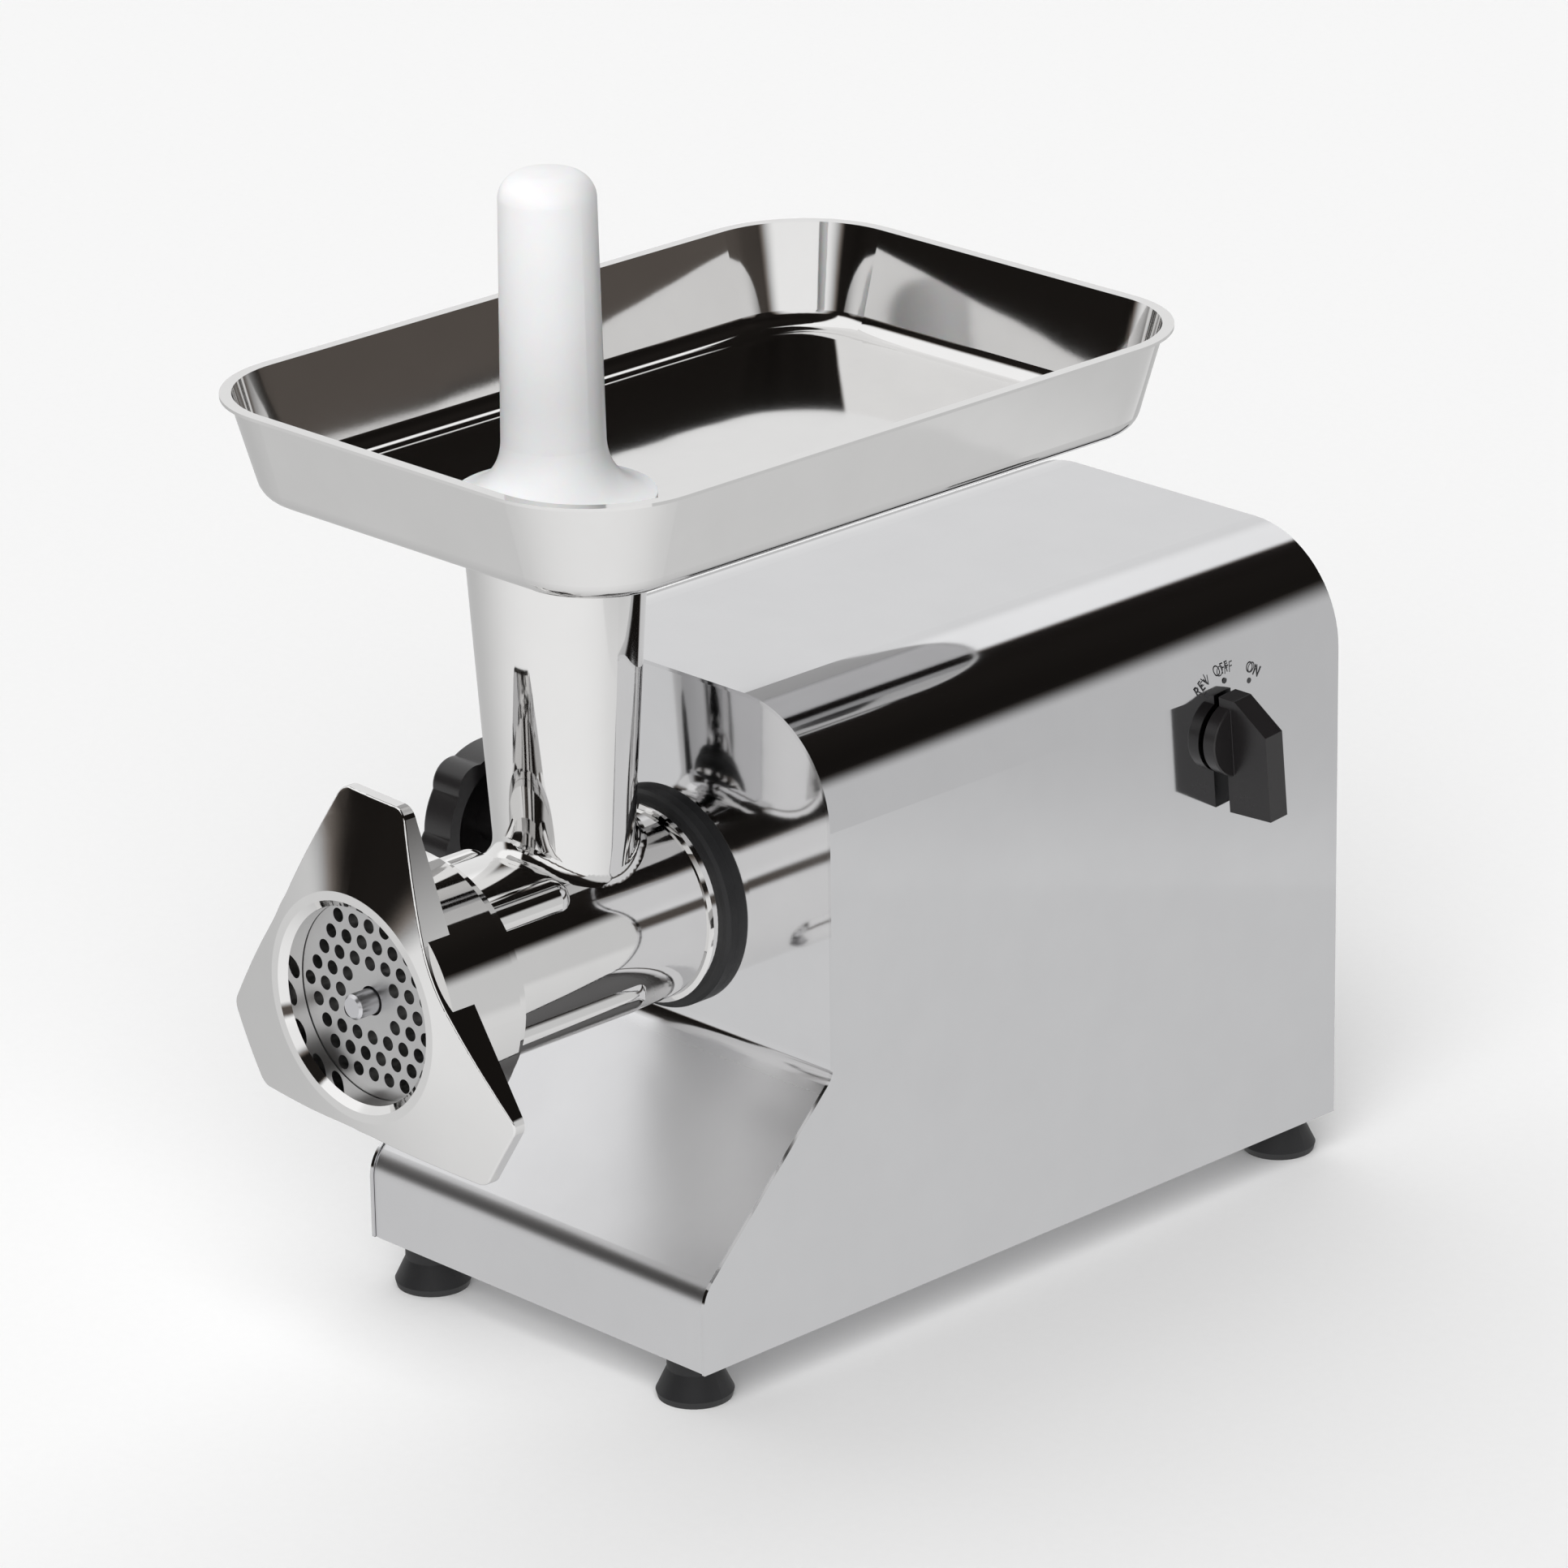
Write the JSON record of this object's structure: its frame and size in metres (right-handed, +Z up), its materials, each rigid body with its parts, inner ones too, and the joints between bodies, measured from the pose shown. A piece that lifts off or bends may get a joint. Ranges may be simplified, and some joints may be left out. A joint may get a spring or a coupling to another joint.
{
  "type": "electric meat grinder",
  "caption": "Bench-top electric meat grinder with a stainless housing, feed tray, pusher, screw-on ring nut and geared motor.",
  "frame": {"origin": "on the bench, under the grinding axis, halfway along the overall length", "axes": "+Z up, -Y towards the ring nut where the meat comes out, +X towards the side with the switch"},
  "size_m": [0.1884, 0.3562, 0.3742],
  "materials": {
    "steel_sides": "fine brushed and polished stainless steel",
    "polished_steel": "mirror polished stainless steel",
    "plate_steel": "ground matte steel",
    "tool_steel": "machined steel",
    "black_rubber": "matte black rubber",
    "black_plastic": "satin black moulded plastic",
    "white_plastic": "smooth white food-grade plastic",
    "grey_washer": "fibre washer",
    "cast_aluminium": "as-cast aluminium",
    "motor_iron": "varnished steel laminations",
    "copper_wire": "varnished copper winding",
    "zinc_screws": "zinc plated",
    "capacitor_white": "white plastic can"
  },
  "bodies": {
    "base_body": {"housing_wrap": "steel_sides", "front_cover": "polished_steel", "rear_cover": "steel_sides", "base_plate": "steel_sides", "feet": "black_rubber", "foot_screws": "zinc_screws", "foot_nuts": "zinc_screws", "grinder_head": "polished_steel", "head_gasket": "black_rubber", "cutting_plate": "plate_steel", "auger_washer": "grey_washer", "switch_body": "black_plastic", "gearbox_case": "cast_aluminium", "gearbox_cover": "cast_aluminium", "gearbox_screws": "zinc_screws", "case_foot_screws": "zinc_screws", "shaft_seal": "black_rubber", "output_bearings": "tool_steel", "layshaft_bearings": "tool_steel", "stator": "motor_iron", "windings": "copper_wire", "motor_front_bell": "cast_aluminium", "motor_rear_bell": "cast_aluminium", "motor_bearings": "tool_steel", "motor_bolts": "zinc_screws", "run_capacitor": "capacitor_white", "capacitor_clip": "steel_sides", "capacitor_screw": "zinc_screws", "terminal_block": "black_plastic", "mains_inlet": "black_plastic", "inlet_screws": "zinc_screws", "rear_cover_screws": "zinc_screws"},
    "ring_nut_body": {"ring_nut": "polished_steel"},
    "auger_body": {"auger": "tool_steel", "auger_stud": "tool_steel", "cross_knife": "tool_steel", "output_shaft": "tool_steel", "output_gear": "tool_steel"},
    "layshaft_body": {"layshaft": "tool_steel", "layshaft_gear": "tool_steel", "layshaft_pinion": "tool_steel"},
    "motor_body": {"motor_shaft": "tool_steel", "motor_pinion": "tool_steel", "rotor": "motor_iron", "cooling_fan": "black_plastic"},
    "tray_body": {"feed_tray": "polished_steel"},
    "pusher_body": {"pusher": "white_plastic"},
    "clamp_body": {"clamp_knob": "black_plastic", "clamp_screw": "zinc_screws"},
    "switch_body_turning": {"switch_knob": "black_plastic", "switch_spindle": "black_plastic"}
  },
  "joints": [
    {"name": "ring_nut_turn", "type": "hinge", "parent": "base_body", "child": "ring_nut_body", "pos_m": [0, -0.17775, 0.134], "axis": [0, 1, 0], "range_deg": [0, 720]},
    {"name": "auger_spin", "type": "hinge", "parent": "base_body", "child": "auger_body", "pos_m": [0, -0.05175, 0.134], "axis": [0, 1, 0], "continuous": true},
    {"name": "layshaft_spin", "type": "hinge", "parent": "base_body", "child": "layshaft_body", "pos_m": [0.02993, 0.00825, 0.10209], "axis": [0, 1, 0], "continuous": true},
    {"name": "motor_spin", "type": "hinge", "parent": "base_body", "child": "motor_body", "pos_m": [0, 0.00825, 0.1], "axis": [0, 1, 0], "continuous": true},
    {"name": "tray_lift", "type": "slide", "parent": "base_body", "child": "tray_body", "axis": [0, 0, 1], "range_m": [0, 0.06]},
    {"name": "pusher_lift", "type": "slide", "parent": "tray_body", "child": "pusher_body", "axis": [0, 0, 1], "range_m": [0, 0.13]},
    {"name": "clamp_turn", "type": "hinge", "parent": "base_body", "child": "clamp_body", "pos_m": [-0.0755, -0.04075, 0.134], "axis": [1, 0, 0], "range_deg": [-720, 0]},
    {"name": "switch_turn", "type": "hinge", "parent": "base_body", "child": "switch_body_turning", "pos_m": [0.0755, 0.12325, 0.1587], "axis": [1, 0, 0], "range_deg": [-38, 26]}
  ],
  "couplings": [
    {"joint": "layshaft_spin", "follows": "auger_spin", "ratio": -4},
    {"joint": "motor_spin", "follows": "auger_spin", "ratio": 16}
  ]
}
